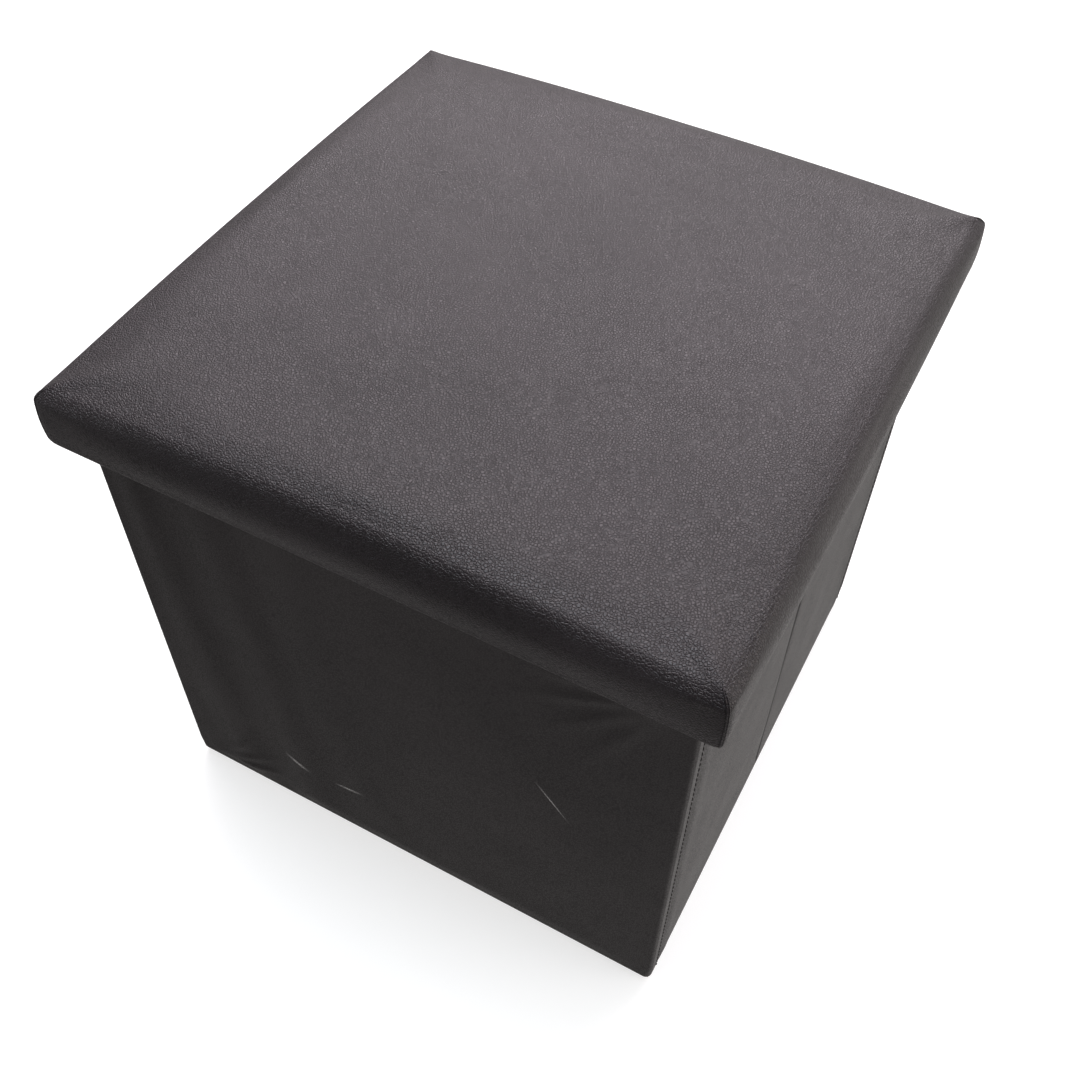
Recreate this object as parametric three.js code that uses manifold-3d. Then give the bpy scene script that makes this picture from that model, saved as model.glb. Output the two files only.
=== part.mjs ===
// A folding storage ottoman: a square leather-covered box with a padded lift-off lid.
// Millimetres, +Z up. The origin is on the floor under the centre of the box. The front wall faces -Y,
// and the two side walls (+X is the right one) have an upright crease half way along, where they fold
// inwards so that the front wall comes back against the back wall.

import * as THREE from 'three';
import * as BufferGeometryUtils from 'three/addons/utils/BufferGeometryUtils.js';
import Module from 'manifold-3d';

const wasm = await Module();
wasm.setup();

// ---- Driving dimensions -------------------------------------------------------------------------

const gap = 0.3;                    // air left between pieces that touch on the real object

const boxSide = 355;                // outside of the box, square
const leatherThickness = 1;
const boardThickness = 3;
const liningThickness = 0.8;
const seamSetback = 11.5;           // how far the front and back leather wraps round onto the sides
const cornerGap = 0.6;              // between a side wall's end and the inside of the front or back wall
const creaseGap = 1.2;              // between the leather of two half walls at the fold
const boardCreaseGap = 5;           // the boards stop further short of the fold

const baseSetback = 2.5;            // the base is this much inside the box's outer faces
const baseFabricThickness = 0.6;
const baseBoardThickness = 2.4;

const lidSide = 384;
const lidFoot = 324;                // height of the lid's lower edge
const lidCrown = 372;               // height of the middle of the seat
const lidRecess = 19.3;             // depth of the lid below its lining, which sits over the walls
const coverThickness = 1;
const foamSlack = 0.8;              // between the foam and the inside of the cover
const rimThickness = 5;
const lidBoardThickness = 6;
const edgeRadius = 17;              // how far in the padded edge starts to turn down
const edgeHeight = 6;               // and how much it drops there
const shoulderDrop = 5;             // from the middle of the seat to where the edge starts to turn
const cornerDrop = 2.5;             // the corners are pulled lower than the middles of the edges
const cornerRadius = 5;             // of the lid, seen from above

// ---- Values worked out from them ----------------------------------------------------------------

const boxHalf = boxSide / 2;
const leatherInside = boxHalf - leatherThickness;
const boardOutside = leatherInside - gap;
const boardInside = boardOutside - boardThickness;
const liningOutside = boardInside - gap;
const wallInside = liningOutside - liningThickness;
const sideEnd = wallInside - cornerGap;

const baseHalf = boxHalf - baseSetback;
const baseBoardFoot = baseFabricThickness + gap;
const baseLiningFoot = baseBoardFoot + baseBoardThickness + gap;
const wallFoot = baseLiningFoot + baseFabricThickness + gap;

const lidHalf = lidSide / 2;
const coverInside = lidHalf - coverThickness;
const rimOutside = coverInside - gap;
const rimInside = rimOutside - rimThickness;
const lidLiningOutside = rimInside - gap;
const lidLiningInside = lidLiningOutside - liningThickness;
const lidLiningFoot = lidFoot + lidRecess;
const lidBoardFoot = lidLiningFoot + liningThickness + gap;
const lidBoardTop = lidBoardFoot + lidBoardThickness;
const wallTop = lidLiningFoot - gap;
const boardTop = wallTop - leatherThickness - gap;

// ---- Materials ----------------------------------------------------------------------------------

function finish(color, roughness) {
  return new THREE.MeshStandardMaterial({ color, roughness, metalness: 0 });
}

const leather = () => finish(0x2b2728, 0.45);
const hardboard = () => finish(0x8a6a48, 0.8);
const foam = () => finish(0xd9d3c0, 0.95);
const fabric = () => finish(0x1b1b1d, 0.95);

const ottoman = new THREE.Group();

function add(name, geometry, material, parent = ottoman) {
  const mesh = new THREE.Mesh(geometry, material);
  mesh.name = name;
  parent.add(mesh);
  return mesh;
}

// ---- Shapes -------------------------------------------------------------------------------------

// An upright or flat plate between two opposite corners.
function plate(low, high) {
  const size = high.map((value, k) => value - low[k]);
  const geometry = new THREE.BoxGeometry(...size);
  geometry.translate(...low.map((value, k) => value + size[k] / 2));
  return geometry;
}

// A flat outline pulled straight up from one height to another.
function upright(points, foot, top) {
  const outline = new THREE.Shape(points.map(([x, y]) => new THREE.Vector2(x, y)));
  const geometry = new THREE.ExtrudeGeometry(outline, { depth: top - foot, bevelEnabled: false });
  geometry.translate(0, 0, foot);
  return geometry;
}

// Two bodies that share some space, as one.
function joined(first, second) {
  const solid = (geometry) => {
    const bare = geometry.clone();
    bare.deleteAttribute('normal');
    bare.deleteAttribute('uv');
    const merged = BufferGeometryUtils.mergeVertices(bare);
    return new wasm.Manifold(new wasm.Mesh({
      numProp: 3,
      vertProperties: new Float32Array(merged.attributes.position.array),
      triVerts: new Uint32Array(merged.index.array),
    }));
  };
  const mesh = solid(first).add(solid(second)).getMesh();
  const geometry = new THREE.BufferGeometry();
  geometry.setAttribute('position', new THREE.BufferAttribute(mesh.vertProperties, 3));
  geometry.setIndex(new THREE.BufferAttribute(mesh.triVerts, 1));
  return geometry;
}

// Points round a square with rounded corners, anticlockwise from above.
function squareRing(half, radius, perSide = 10, perCorner = 3) {
  const points = [];
  const straight = half - radius;
  for (let side = 0; side < 4; side += 1) {
    const turn = (side * Math.PI) / 2;
    const toRing = (x, y) => [
      x * Math.cos(turn) - y * Math.sin(turn),
      x * Math.sin(turn) + y * Math.cos(turn),
    ];
    for (let k = 0; k < perSide; k += 1) {
      points.push(toRing(half, straight * ((2 * k) / perSide - 1)));
    }
    for (let k = 0; k < perCorner; k += 1) {
      const angle = ((Math.PI / 2) * k) / perCorner;
      points.push(toRing(straight + radius * Math.cos(angle), straight + radius * Math.sin(angle)));
    }
  }
  return points;
}

// A closed body from a stack of rings with the same number of points, with a pole at each end. The
// rings run so that their outside is on the right hand of the way along the stack: up the outside.
function ringBody(firstPole, rings, lastPole) {
  const count = rings[0].length;
  const positions = [...firstPole, ...rings.flat(2), ...lastPole];
  const faces = [];
  const at = (ring, point) => 1 + ring * count + (point % count);
  for (let point = 0; point < count; point += 1) {
    faces.push(0, at(0, point + 1), at(0, point));
    for (let ring = 1; ring < rings.length; ring += 1) {
      faces.push(at(ring - 1, point), at(ring - 1, point + 1), at(ring, point + 1));
      faces.push(at(ring - 1, point), at(ring, point + 1), at(ring, point));
    }
    faces.push(at(rings.length - 1, point), at(rings.length - 1, point + 1), 1 + rings.length * count);
  }
  const geometry = new THREE.BufferGeometry();
  geometry.setAttribute('position', new THREE.Float32BufferAttribute(positions, 3));
  geometry.setIndex(faces);
  geometry.computeVertexNormals();
  return geometry;
}

// The padded top of the lid, from its edge to near its middle, as rings inside a skin of the given
// depth: a quarter turn round the edge, then a low crown. Corners are drawn lower than edge middles.
function crownRings(depth) {
  const half = lidHalf - depth;
  const crown = lidCrown - depth;
  const shoulder = crown - shoulderDrop;
  const flatHalf = lidHalf - edgeRadius;
  const profile = [];
  for (let k = 0; k <= 4; k += 1) {
    const angle = ((Math.PI / 2) * k) / 4;
    profile.push([
      flatHalf + (half - flatHalf) * Math.cos(angle),
      shoulder - edgeHeight * (1 - Math.sin(angle)),
    ]);
  }
  for (const share of [0.8, 0.6, 0.4, 0.2]) {
    profile.push([flatHalf * share, crown - shoulderDrop * share * share]);
  }
  return profile.map(([ringHalf, height]) => {
    const radius = Math.min(cornerRadius, ringHalf / 2);
    return squareRing(ringHalf, radius).map(([x, y]) => {
      const corner = (Math.abs(x * y) / lidHalf ** 2) ** 3;
      return [x, y, height - cornerDrop * corner];
    });
  });
}

function levelRing(half, height) {
  return squareRing(half, cornerRadius).map(([x, y]) => [x, y, height]);
}

// ---- Base: it stays with the back wall ----------------------------------------------------------

function addBase() {
  const layer = (name, foot, thickness, material) => add(
    name,
    plate([-baseHalf, -baseHalf, foot], [baseHalf, baseHalf, foot + thickness]),
    material,
  );
  layer('base_fabric', 0, baseFabricThickness, fabric());
  layer('base_board', baseBoardFoot, baseBoardThickness, hardboard());
  layer('base_lining', baseLiningFoot, baseFabricThickness, fabric());
}

// ---- Front and back walls: board, lining, and leather that wraps round both corners -------------

// The leather of every wall is turned over the top edge of its board.
const lipFoot = wallTop - leatherThickness;

function addEndWall(name, turn) {
  const wall = new THREE.Group();
  wall.rotation.z = turn;
  ottoman.add(wall);
  const wrap = [
    [-boxHalf, -boxHalf],
    [boxHalf, -boxHalf],
    [boxHalf, -boxHalf + seamSetback],
    [leatherInside, -boxHalf + seamSetback],
    [leatherInside, -leatherInside],
    [-leatherInside, -leatherInside],
    [-leatherInside, -boxHalf + seamSetback],
    [-boxHalf, -boxHalf + seamSetback],
  ];
  const lip = plate([-boardOutside, -boxHalf, lipFoot], [boardOutside, -boardInside, wallTop]);
  add(`${name}_leather`, joined(upright(wrap, wallFoot, wallTop), lip), leather(), wall);
  add(
    `${name}_board`,
    plate([-boardOutside, -boardOutside, wallFoot], [boardOutside, -boardInside, boardTop]),
    hardboard(),
    wall,
  );
  add(
    `${name}_lining`,
    plate([-boardOutside, -liningOutside, wallFoot], [boardOutside, -wallInside, boardTop]),
    fabric(),
    wall,
  );
}

// ---- Side walls: two halves each, with the crease between them ----------------------------------

function addHalfWall(side, end) {
  const name = `${side > 0 ? 'right' : 'left'}_${end > 0 ? 'rear' : 'front'}`;
  const layer = (outside, inside, creaseSide, farSide, foot, top) => {
    const x = [side * outside, side * inside].sort((a, b) => a - b);
    const y = [end * creaseSide, end * farSide].sort((a, b) => a - b);
    return plate([x[0], y[0], foot], [x[1], y[1], top]);
  };
  const seam = boxHalf - seamSetback - gap;
  const skin = layer(boxHalf, leatherInside, creaseGap / 2, seam, wallFoot, wallTop);
  const lip = layer(boxHalf, boardInside, creaseGap / 2, seam, lipFoot, wallTop);
  const board = layer(boardOutside, boardInside, boardCreaseGap / 2, sideEnd, wallFoot, boardTop);
  const lining = layer(liningOutside, wallInside, creaseGap / 2, sideEnd, wallFoot, boardTop);
  add(`${name}_leather`, joined(skin, lip), leather());
  add(`${name}_board`, board, hardboard());
  add(`${name}_lining`, lining, fabric());
}

// ---- Lid: board, four rim strips, foam, leather cover and lining --------------------------------

// Each rim strip butts against the side of the next one and has its own outer corner cut off.
function addLidFrame() {
  const boardHalf = rimInside - gap;
  add(
    'lid_board',
    plate([-boardHalf, -boardHalf, lidBoardFoot], [boardHalf, boardHalf, lidBoardTop]),
    hardboard(),
  );
  const outline = [
    [-rimOutside + cornerRadius, -rimOutside],
    [rimInside - gap, -rimOutside],
    [rimInside - gap, -rimInside],
    [-rimOutside, -rimInside],
    [-rimOutside, -rimOutside + cornerRadius],
  ];
  const strip = () => upright(outline, lidFoot + coverThickness, lidBoardTop);
  ['front', 'right', 'back', 'left'].forEach((name, k) => {
    add(`lid_rim_${name}`, strip(), hardboard()).rotation.z = (k * Math.PI) / 2;
  });
}

function addSeatFoam() {
  const depth = coverThickness + foamSlack;
  const foot = lidBoardTop + gap;
  const rings = [levelRing(lidHalf - depth, foot), ...crownRings(depth)];
  add('seat_foam', ringBody([0, 0, foot], rings, [0, 0, lidCrown - depth]), foam());
}

// The cover is one skin from the seat down to the lid's lower edge, open underneath.
function addSeatCover() {
  const inner = [levelRing(coverInside, lidFoot), ...crownRings(coverThickness)].reverse();
  const outer = [levelRing(lidHalf, lidFoot), ...crownRings(0)];
  const inside = [0, 0, lidCrown - coverThickness];
  const outside = [0, 0, lidCrown];
  add('seat_cover', ringBody(inside, [...inner, ...outer], outside), leather());
}

// The lining covers the underside of the lid's board and the inner faces of its rim.
function addLidLining() {
  const ring = (half, height) => squareRing(half, 2).map(([x, y]) => [x, y, height]);
  const top = lidLiningFoot + liningThickness;
  const foot = lidFoot + coverThickness;
  const rings = [
    ring(lidLiningInside, lidLiningFoot),
    ring(lidLiningInside, foot),
    ring(lidLiningOutside, foot),
    ring(lidLiningOutside, top),
  ];
  add('lid_lining', ringBody([0, 0, lidLiningFoot], rings, [0, 0, top]), fabric());
}

// ---- The whole ottoman --------------------------------------------------------------------------

addBase();
addEndWall('front', 0);
addEndWall('back', Math.PI);
for (const side of [1, -1]) {
  for (const end of [1, -1]) {
    addHalfWall(side, end);
  }
}
addLidFrame();
addSeatFoam();
addSeatCover();
addLidLining();

ottoman.traverse((piece) => {
  if (piece.isMesh) {
    piece.geometry.deleteAttribute('normal');
    piece.geometry.deleteAttribute('uv');
    piece.geometry = BufferGeometryUtils.mergeVertices(piece.geometry);
    piece.geometry.computeVertexNormals();
  }
});

export default ottoman;
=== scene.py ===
# %% [markdown]
# # A folding storage ottoman in black-brown leather
#
# The frame holds what the ottoman is built on: its boards, where they are, and how they fold. This
# script makes what is seen and felt over them: the leather, the foam, the lining and the thread.
# It begins with the frame, because the sizes below are worked out from the boards and skins in it.

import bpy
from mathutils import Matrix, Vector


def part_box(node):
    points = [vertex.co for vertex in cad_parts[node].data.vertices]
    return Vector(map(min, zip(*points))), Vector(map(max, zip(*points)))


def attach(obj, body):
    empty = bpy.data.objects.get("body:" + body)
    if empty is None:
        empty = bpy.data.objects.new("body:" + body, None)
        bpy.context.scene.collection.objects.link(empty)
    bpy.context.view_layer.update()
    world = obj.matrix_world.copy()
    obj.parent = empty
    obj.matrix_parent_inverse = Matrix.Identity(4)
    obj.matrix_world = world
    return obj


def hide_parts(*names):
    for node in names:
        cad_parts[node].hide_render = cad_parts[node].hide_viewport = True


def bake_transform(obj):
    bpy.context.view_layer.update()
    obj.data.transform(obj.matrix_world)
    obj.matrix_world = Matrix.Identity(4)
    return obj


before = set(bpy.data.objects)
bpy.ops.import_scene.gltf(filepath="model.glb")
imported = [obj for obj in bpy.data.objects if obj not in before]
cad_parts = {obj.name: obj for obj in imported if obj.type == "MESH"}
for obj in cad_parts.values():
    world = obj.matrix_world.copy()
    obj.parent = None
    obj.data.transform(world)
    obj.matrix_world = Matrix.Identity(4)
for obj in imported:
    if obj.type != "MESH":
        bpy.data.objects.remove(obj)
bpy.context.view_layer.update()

# %% The tools and the units
import math

import bmesh
import bpy
import numpy as np
from mathutils import Quaternion, Vector

MM = 0.001
QUARTER = math.pi / 2
scene = bpy.context.scene

# %% [markdown]
# ## The camera
#
# A camera is easiest to think of as standing round a point: how far round it (azimuth), how high above
# the horizon (elevation), how far away, and how much it leans to one side (roll). It is made before the
# ottoman, so that every render has the same view.

# %% The camera
AIM = (0.0294, -0.0558, 0.2295)
AZIMUTH, ELEVATION, ROLL = math.radians(27.62), math.radians(50.54), math.radians(1.12)
CAMERA_DISTANCE = 0.75
LENS = 42.4


def add_camera():
    """Place = aim + distance * (sin a cos e, -cos a cos e, sin e), looking back at the aim."""
    level = math.cos(ELEVATION)
    back = Vector((math.sin(AZIMUTH) * level, -math.cos(AZIMUTH) * level, math.sin(ELEVATION)))
    camera = bpy.data.objects.new("camera", bpy.data.cameras.new("camera"))
    camera.data.lens = LENS
    camera.rotation_mode = "QUATERNION"
    camera.location = Vector(AIM) + back * CAMERA_DISTANCE
    camera.rotation_quaternion = (-back).to_track_quat("-Z", "Y") @ Quaternion((0, 0, 1), ROLL)
    scene.collection.objects.link(camera)
    scene.camera = camera
    return camera


print("camera at", [round(x, 3) for x in add_camera().location])

# %% [markdown] ## Sizes from the frame  Nothing below repeats a size that the frame already knows.

# %% Sizes
lid_low, lid_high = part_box("seat_cover")
LID_HALF = lid_high.x
LID_FOOT = lid_low.z
LID_CROWN = lid_high.z

wall_low, wall_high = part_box("front_leather")
BOX_HALF = wall_high.x
WALL_FOOT = wall_low.z
WALL_TOP = wall_high.z
SEAM = -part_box("front_leather")[1].y
if SEAM < 0.9 * BOX_HALF:
    raise ValueError("the front leather should wrap only a little way round the corners")

LINING_FACE = -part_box("front_lining")[1].y
LINING_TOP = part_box("front_lining")[1].z
SIDE_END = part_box("right_rear_lining")[1].y
BASE_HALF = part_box("base_fabric")[1].x
BASE_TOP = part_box("base_lining")[1].z
LID_LINING_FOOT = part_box("lid_board")[0].z
RIM_INSIDE = -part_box("lid_rim_front")[1].y
FOAM_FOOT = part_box("seat_foam")[0].z
print(f"lid {2 * LID_HALF:.3f} m, box {2 * BOX_HALF:.3f} m, seat {LID_CROWN:.3f} m high")

# %% [markdown]
# ## Numbers in a material
#
# A procedural material is arithmetic on numbers that vary over a surface. The nodes could be wired one
# by one, but that hides the arithmetic. So a small class stands for one such number, and ordinary
# operators on it add Math nodes. Every other node goes through one method, which sets the node up and
# joins its inputs.


# %% A number that varies over a surface
class Number:
    """One output socket. a + b, a * b, 1 - a and so on each add a Math node and give a new Number."""

    def __init__(self, recipe, socket):
        self.recipe, self.socket = recipe, socket

    def math(self, operation, *values):
        return self.recipe.number("ShaderNodeMath", {"operation": operation}, dict(enumerate(values)))

    def __add__(self, other):
        return self.math("ADD", self, other)

    def __sub__(self, other):
        return self.math("SUBTRACT", self, other)

    def __rsub__(self, other):
        return self.math("SUBTRACT", other, self)

    def __mul__(self, other):
        return self.math("MULTIPLY", self, other)

    __radd__ = __add__
    __rmul__ = __mul__

    def ramp(self, low, high):
        """0 below low, 1 above high, and a smooth curve between them."""
        settings = {"interpolation_type": "SMOOTHSTEP"}
        inputs = {"Value": self, "From Min": low, "From Max": high}
        return self.recipe.number("ShaderNodeMapRange", settings, inputs)

    def sine(self):
        return self.math("SINE", self)

    def size(self):
        return self.math("ABSOLUTE", self)


# %% A node tree
class Nodes:
    """A node tree under construction; `place` is the vector its textures are read at."""

    def __init__(self, tree, place):
        self.tree = tree
        self.tree.nodes.clear()
        self.place = self.node("ShaderNodeTexCoord").outputs[place]

    def node(self, kind, settings=(), inputs=()):
        made = self.tree.nodes.new(kind)
        for key, value in dict(settings).items():
            setattr(made, key, value)
        for key, value in dict(inputs).items():
            self.plug(value, made.inputs[key])
        return made

    def plug(self, value, socket):
        value = value.socket if isinstance(value, Number) else value
        if isinstance(value, bpy.types.NodeSocket):
            self.tree.links.new(value, socket)
        else:
            socket.default_value = value

    def number(self, kind, settings=(), inputs=(), output=0):
        return Number(self, self.node(kind, settings, inputs).outputs[output])

    def noise(self, scale, detail=2.0, roughness=0.5, distortion=0.0):
        inputs = {"Vector": self.place, "Scale": scale, "Detail": detail,
                  "Roughness": roughness, "Distortion": distortion}
        return self.number("ShaderNodeTexNoise", {}, inputs)

    def axes(self):
        parts = self.node("ShaderNodeSeparateXYZ", {}, {"Vector": self.place})
        return [Number(self, parts.outputs[k]) for k in range(3)]

    def colour(self, share, first, second):
        """The first colour where share is 0 and the second where it is 1."""
        inputs = {0: share, 6: first, 7: second}
        made = self.node("ShaderNodeMix", {"data_type": "RGBA"}, inputs)
        return made.outputs[2]

    def shifted(self, amount, scale):
        """Places pushed about by noise, so that a regular pattern on them looks natural."""
        wobble = self.node("ShaderNodeTexNoise", {}, {"Vector": self.place, "Scale": scale})
        centred = self.node("ShaderNodeVectorMath", {"operation": "SUBTRACT"},
                            {0: wobble.outputs["Color"], 1: (0.5, 0.5, 0.5)})
        scaled = self.node("ShaderNodeVectorMath", {"operation": "SCALE"},
                           {0: centred.outputs[0], "Scale": amount})
        added = self.node("ShaderNodeVectorMath", {"operation": "ADD"},
                          {0: self.place, 1: scaled.outputs[0]})
        return added.outputs[0]


# %% A material
class Recipe(Nodes):
    """A material under construction, with a Principled shader at its end."""

    def __init__(self, name, **constants):
        self.material = bpy.data.materials.new(name)
        self.material.use_nodes = True
        super().__init__(self.material.node_tree, "Object")
        self.shader = self.node("ShaderNodeBsdfPrincipled", {}, constants)
        self.node("ShaderNodeOutputMaterial", {}, {"Surface": self.shader.outputs[0]})

    def finish(self, colour, roughness, height, depth):
        """Joins the varying inputs; height is a Number, and depth what 1 of it is in metres."""
        bump = self.node("ShaderNodeBump", {}, {"Height": height, "Distance": depth})
        self.plug(colour, self.shader.inputs["Base Color"])
        self.plug(roughness, self.shader.inputs["Roughness"])
        self.plug(bump.outputs[0], self.shader.inputs["Normal"])
        return self.material


def tone(red, green, blue):
    return (red, green, blue, 1.0)


print("operations on a number:", [name for name in vars(Number) if not name.startswith("__")])

# %% [markdown]
# ## The leather
#
# Coated leather is a dark, slightly brown skin pressed with a grain of small rounded pebbles. A
# repeated picture of leather would show its seams and stretch over the corners, so the grain is worked
# out at every point instead. A Voronoi texture gives the distance to the nearest cell edge, and a smooth
# ramp of it makes pebbles with narrow valleys between them. The places it is read at are first pushed
# about by noise, because pressed grain is never a clean honeycomb. Valleys are duller than the pebbles'
# tops, and are also painted darker in the colour: painted shade. The front wall also has a few pale
# lines painted in the colour where its creases catch the light: painted highlights, each a short line.


# %% Painted highlights along the front wall's creases
PAINTED_HIGHLIGHT_TONE = tone(0.30, 0.29, 0.28)


def painted_highlight(recipe, place, angle, length, width):
    """A painted highlight: 1 along a short pale line on the front wall where a crease catches the light,
    fading to 0 at its ends and sides; place is (x, z).
    """
    x, y, z = recipe.axes()
    c, s = math.cos(math.radians(angle)), math.sin(math.radians(angle))
    along = (x - place[0]) * c + (z - place[1]) * s
    across = (z - place[1]) * c - (x - place[0]) * s
    on_front = y.ramp(-BOX_HALF + 7.5 * MM, -BOX_HALF + 2.5 * MM)
    return (1 - along.size().ramp(0, length)) * (1 - across.size().ramp(0, width)) * on_front


# Where pale lines are painted on the front wall as highlights along its creases: middle (x, z), angle in
# degrees, half its length, half its width.
PAINTED_HIGHLIGHTS = (
    ((-84 * MM, 61.5 * MM), -30, 12 * MM, 2.6 * MM),
    ((-44 * MM, 60 * MM), 12, 14 * MM, 1.8 * MM),
    ((104 * MM, 177 * MM), -52, 22 * MM, 0.9 * MM),
)
print("scuffs:", len(PAINTED_HIGHLIGHTS))


# %% Leather
PEBBLE_EDGE = 0.24


def leather(name, grain_size, grain_depth, base, pebble_top_tone, gloss, roughness, painted_highlights=()):
    """Grain size and depth are in metres; `base` is the valleys' tone, darkened as painted shade, and the
    lighter tone is that of the pebbles' tops.
    """
    recipe = Recipe(name, **{"Specular IOR Level": gloss})
    shifted = recipe.shifted(0.8 * grain_size, 0.45 / grain_size)
    edges = {"feature": "DISTANCE_TO_EDGE"}
    cells = {"Vector": shifted, "Scale": 1 / grain_size, "Randomness": 0.9}
    pebbles = recipe.number("ShaderNodeTexVoronoi", edges, cells).ramp(0.0, PEBBLE_EDGE)
    pores = recipe.noise(3.0 / grain_size, detail=3.0, roughness=0.6)
    clouds = recipe.noise(7.0, detail=3.0, roughness=0.55)
    patches = recipe.noise(38.0, detail=2.0)
    # The pebbles' share darkens the valleys in the colour: painted shade. Clouds and patches are the
    # leather's own uneven tone.
    shade = clouds.ramp(0.35, 0.68) * 0.45 + patches * 0.15 + pebbles * 0.4
    dull = roughness + 0.16 * (1 - pebbles) + 0.10 * (patches - 0.5)
    height = pebbles * (0.75 + 0.25 * patches) + 0.16 * pores
    colour = recipe.colour(shade, base, pebble_top_tone)
    for place, angle, length, width in painted_highlights:
        # Pale lines painted into the colour where the front wall's creases catch the light: painted
        # highlights.
        mark = painted_highlight(recipe, place, angle, length, width) * pores.ramp(0.35, 0.65)
        colour = recipe.colour(mark, colour, PAINTED_HIGHLIGHT_TONE)
    return recipe.finish(colour, dull, height, grain_depth)


seat_leather = leather("seat_leather", grain_size=1.5 * MM, grain_depth=0.27 * MM,
                       base=tone(0.0070, 0.0048, 0.0056), pebble_top_tone=tone(0.0190, 0.0145, 0.0165),
                       gloss=0.42, roughness=0.37)
wall_leather = leather("wall_leather", grain_size=1.5 * MM, grain_depth=0.05 * MM,
                       base=tone(0.0090, 0.0070, 0.0076), pebble_top_tone=tone(0.0170, 0.0138, 0.0142),
                       gloss=0.32, roughness=0.42, painted_highlights=PAINTED_HIGHLIGHTS)
print("leather:", len(seat_leather.node_tree.nodes), "nodes")

# %% [markdown]
# ## Lining, board, foam and thread
#
# The lining is spunbonded cloth: a felt of fine fibres pressed together at a grid of tiny dots, which
# three crossed sine waves give. The boards are pressed wood fibre, brown with darker flecks. Foam is a
# mass of open cells. The thread is twisted, and so thin that a fine uneven bump is all its twist needs.
# Each is one short recipe, because none of them is seen from nearer than an arm's length.


# %% Lining
def lining_cloth():
    recipe = Recipe("lining_cloth", **{"Specular IOR Level": 0.25})
    across = [(axis * (2 * math.pi / (1.3 * MM))).sine() for axis in recipe.axes()]
    dots = (across[0] + across[1] + across[2]).ramp(1.1, 2.0)
    fibres = recipe.noise(2600.0, detail=4.0, roughness=0.7, distortion=1.5)
    clouds = recipe.noise(22.0, detail=3.0)
    shade = fibres * 0.6 + clouds * 0.4 - dots * 0.25
    colour = recipe.colour(shade, tone(0.010, 0.010, 0.011), tone(0.050, 0.049, 0.052))
    return recipe.finish(colour, 0.82 + 0.12 * fibres, fibres - 0.8 * dots, 0.12 * MM)


lining_finish = lining_cloth()
print("lining:", len(lining_finish.node_tree.nodes), "nodes")


# %% Board
def pressed_board():
    recipe = Recipe("pressed_board", **{"Specular IOR Level": 0.3})
    fibres = recipe.noise(900.0, detail=5.0, roughness=0.75, distortion=0.8)
    flecks = recipe.noise(330.0, detail=2.0).ramp(0.58, 0.72)
    shade = fibres * 0.8 + recipe.noise(18.0) * 0.3 - flecks * 0.35
    colour = recipe.colour(shade, tone(0.10, 0.055, 0.026), tone(0.36, 0.22, 0.115))
    return recipe.finish(colour, 0.7 + 0.2 * fibres, fibres - 0.4 * flecks, 0.08 * MM)


board_finish = pressed_board()
print("board:", len(board_finish.node_tree.nodes), "nodes")


# %% Foam
def open_foam():
    recipe = Recipe("open_foam", **{"Specular IOR Level": 0.2})
    cells = {"Vector": recipe.place, "Scale": 1 / (1.1 * MM)}
    pits = recipe.number("ShaderNodeTexVoronoi", {"feature": "F1"}, cells).ramp(0.1, 0.6)
    age = recipe.noise(9.0, detail=3.0)
    colour = recipe.colour(pits * 0.6 + age * 0.4, tone(0.42, 0.37, 0.24), tone(0.74, 0.70, 0.56))
    return recipe.finish(colour, 0.88 + 0.1 * pits, pits + 0.4 * recipe.noise(1400.0), 0.25 * MM)


foam_finish = open_foam()
print("foam:", len(foam_finish.node_tree.nodes), "nodes")


# %% Thread
def dark_thread():
    recipe = Recipe("dark_thread", **{"Specular IOR Level": 0.4})
    twist = recipe.noise(3800.0, detail=2.0, distortion=1.0)
    colour = recipe.colour(twist, tone(0.006, 0.005, 0.005), tone(0.022, 0.018, 0.018))
    return recipe.finish(colour, 0.5 + 0.25 * twist, twist, 0.1 * MM)


thread_finish = dark_thread()
print("materials:", [material.name for material in bpy.data.materials if material.use_nodes])

# %% [markdown]
# ## From grids of points to meshes
#
# Every soft piece is a surface: a formula gives a grid of points, and neighbouring points share a face.
# Modelling by hand would do as well, but a formula can be read, and changed with one number. Rows run
# up the piece and columns along it, so that along x up points outwards. A skin gets its real thickness
# from a Solidify modifier, which leaves the outer face where the formula put it.


# %% Meshes from grids
def new_piece(name, points, faces, material):
    mesh = bpy.data.meshes.new(name)
    mesh.from_pydata(np.asarray(points).reshape(-1, 3), [], faces, shade_flat=False)
    mesh.materials.append(material)
    piece = bpy.data.objects.new(name, mesh)
    scene.collection.objects.link(piece)
    return piece


def grid_faces(rows, columns, closed=False):
    """Quads (i, j), (i, j+1), (i+1, j+1), (i+1, j); a closed grid joins its last column to its first."""
    index = np.arange(rows * columns).reshape(rows, columns)
    if closed:
        index = np.concatenate([index, index[:, :1]], axis=1)
    corners = [index[:-1, :-1], index[:-1, 1:], index[1:, 1:], index[1:, :-1]]
    return np.stack(corners, axis=-1).reshape(-1, 4)


def skin(name, points, material, thickness):
    """A sheet whose outer face is the given grid of points (rows, columns, 3)."""
    piece = new_piece(name, points, grid_faces(*points.shape[:2]), material)
    solid = piece.modifiers.new("thickness", "SOLIDIFY")
    solid.thickness = thickness
    solid.offset = -1
    return piece


def turned(points, angle):
    """Points turned about the upright axis through the middle of the ottoman."""
    c, s = math.cos(angle), math.sin(angle)
    return np.stack([points[..., 0] * c - points[..., 1] * s,
                     points[..., 0] * s + points[..., 1] * c, points[..., 2]], axis=-1)


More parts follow.
